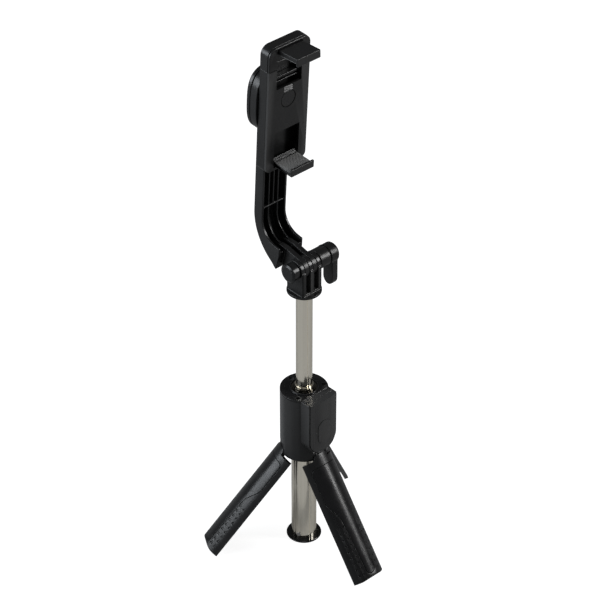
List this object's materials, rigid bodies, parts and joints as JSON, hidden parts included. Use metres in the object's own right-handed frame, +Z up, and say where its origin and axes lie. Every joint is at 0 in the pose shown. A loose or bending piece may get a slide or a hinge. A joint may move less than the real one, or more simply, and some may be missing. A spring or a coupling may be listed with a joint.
{
  "type": "selfie stick",
  "caption": "Black selfie stick standing on a three-leg base, with a telescopic steel pole, a tilting arm, a spring phone clamp and a slide-out remote",
  "frame": {"origin": "on the pole's axis, on the plane of the leg tips and of the foot disc's underside", "axes": "+Z up along the pole; the clamp, the remote and one leg face -Y; the hinge axis of the head is X, with the wing knob at +X"},
  "size_m": [0.112, 0.0996, 0.3396],
  "materials": {
    "chrome_tube": "polished, fine drawn streaks along the tube",
    "steel": "plain steel hardware",
    "satin_black": "moulded black plastic with a fine satin texture",
    "smooth_black": "smoother black plastic with a soft sheen",
    "pad_rubber": "grey ribbed grip rubber",
    "board": "green circuit board",
    "lens": "clear light pipe"
  },
  "bodies": {
    "hub": {"outer_tube": "chrome_tube", "foot_disc": "smooth_black", "tube_rivet": "steel", "hub_shell": "satin_black", "hub_top_cap": "smooth_black", "leg_carrier": "satin_black", "leg_hinge_pins": "steel"},
    "left_leg": {"left_leg_frame": "satin_black", "left_leg_cover": "smooth_black"},
    "front_leg": {"front_leg_frame": "satin_black", "front_leg_cover": "smooth_black"},
    "rear_leg": {"rear_leg_frame": "satin_black", "rear_leg_cover": "smooth_black"},
    "section_2": {"pole_section_2": "chrome_tube", "bush_2": "satin_black"},
    "section_3": {"pole_section_3": "chrome_tube", "bush_3": "satin_black"},
    "section_4": {"pole_section_4": "chrome_tube", "bush_4": "satin_black"},
    "section_5": {"pole_section_5": "chrome_tube", "bush_5": "satin_black", "pole_head": "smooth_black", "head_pin": "steel", "nut_cap": "smooth_black", "hinge_nut": "steel"},
    "knob": {"wing_knob": "smooth_black", "hinge_bolt": "steel", "hinge_washer": "steel"},
    "arm": {"arm_frame": "satin_black", "arm_rear_cover": "smooth_black"},
    "clamp": {"swivel_washer": "steel", "swivel_screw": "steel", "swivel_cap": "smooth_black", "clamp_back": "satin_black", "clamp_front": "smooth_black", "clamp_screws": "steel", "lower_jaw_pin": "steel", "clamp_springs": "steel"},
    "carriage": {"carriage_frame": "satin_black", "carriage_front": "smooth_black", "spring_hanger": "steel", "upper_jaw_pin": "steel"},
    "upper_jaw": {"upper_jaw": "satin_black", "upper_jaw_pad": "pad_rubber"},
    "lower_jaw": {"lower_jaw": "satin_black", "lower_jaw_pad": "pad_rubber"},
    "remote": {"remote_front": "smooth_black", "remote_back": "satin_black", "remote_board": "board", "coin_cell": "steel", "tact_switch": "steel", "light_pipe": "lens"},
    "button": {"remote_button": "smooth_black"}
  },
  "joints": [
    {"name": "left_leg_fold", "type": "hinge", "parent": "hub", "child": "left_leg", "pos_m": [-0.00927, 0.00535, 0.0708], "axis": [-0.5, -0.866, 0], "range_deg": [0, 36]},
    {"name": "front_leg_fold", "type": "hinge", "parent": "hub", "child": "front_leg", "pos_m": [0, -0.0107, 0.0708], "axis": [1, 0, 0], "range_deg": [0, 36]},
    {"name": "rear_leg_fold", "type": "hinge", "parent": "hub", "child": "rear_leg", "pos_m": [0.00927, 0.00535, 0.0708], "axis": [-0.5, 0.866, 0], "range_deg": [0, 36]},
    {"name": "section_2_slide", "type": "slide", "parent": "hub", "child": "section_2", "axis": [0, 0, 1], "range_m": [0, 0.085]},
    {"name": "section_3_slide", "type": "slide", "parent": "section_2", "child": "section_3", "axis": [0, 0, 1], "range_m": [0, 0.085]},
    {"name": "section_4_slide", "type": "slide", "parent": "section_3", "child": "section_4", "axis": [0, 0, 1], "range_m": [0, 0.085]},
    {"name": "section_5_slide", "type": "slide", "parent": "section_4", "child": "section_5", "axis": [0, 0, 1], "range_m": [-0.0655, 0.019]},
    {"name": "knob_turn", "type": "hinge", "parent": "section_5", "child": "knob", "pos_m": [0, 0, 0.1989], "axis": [1, 0, 0], "continuous": true},
    {"name": "arm_tilt", "type": "hinge", "parent": "section_5", "child": "arm", "pos_m": [0, 0, 0.1989], "axis": [1, 0, 0], "range_deg": [-30, 166]},
    {"name": "clamp_turn", "type": "hinge", "parent": "arm", "child": "clamp", "pos_m": [0, 0.02063, 0.30326], "axis": [0, -0.9983, -0.0576], "continuous": true},
    {"name": "carriage_slide", "type": "slide", "parent": "clamp", "child": "carriage", "axis": [0, -0.0576, 0.9983], "range_m": [0, 0.025], "stiffness_N_per_m": 150, "springref_m": -0.02, "deforming": ["clamp_springs"]},
    {"name": "upper_jaw_fold", "type": "hinge", "parent": "carriage", "child": "upper_jaw", "pos_m": [0, 0.01275, 0.33568], "axis": [1, 0, 0], "range_deg": [0, 95]},
    {"name": "lower_jaw_fold", "type": "hinge", "parent": "clamp", "child": "lower_jaw", "pos_m": [0, 0.01691, 0.26343], "axis": [-1, 0, 0], "range_deg": [0, 90]},
    {"name": "remote_slide", "type": "slide", "parent": "hub", "child": "remote", "axis": [0, 0, 1], "range_m": [0, 0.034]},
    {"name": "button_press", "type": "slide", "parent": "remote", "child": "button", "axis": [0, 1, 0], "range_m": [0, 0.0006], "stiffness_N_per_m": 400}
  ]
}
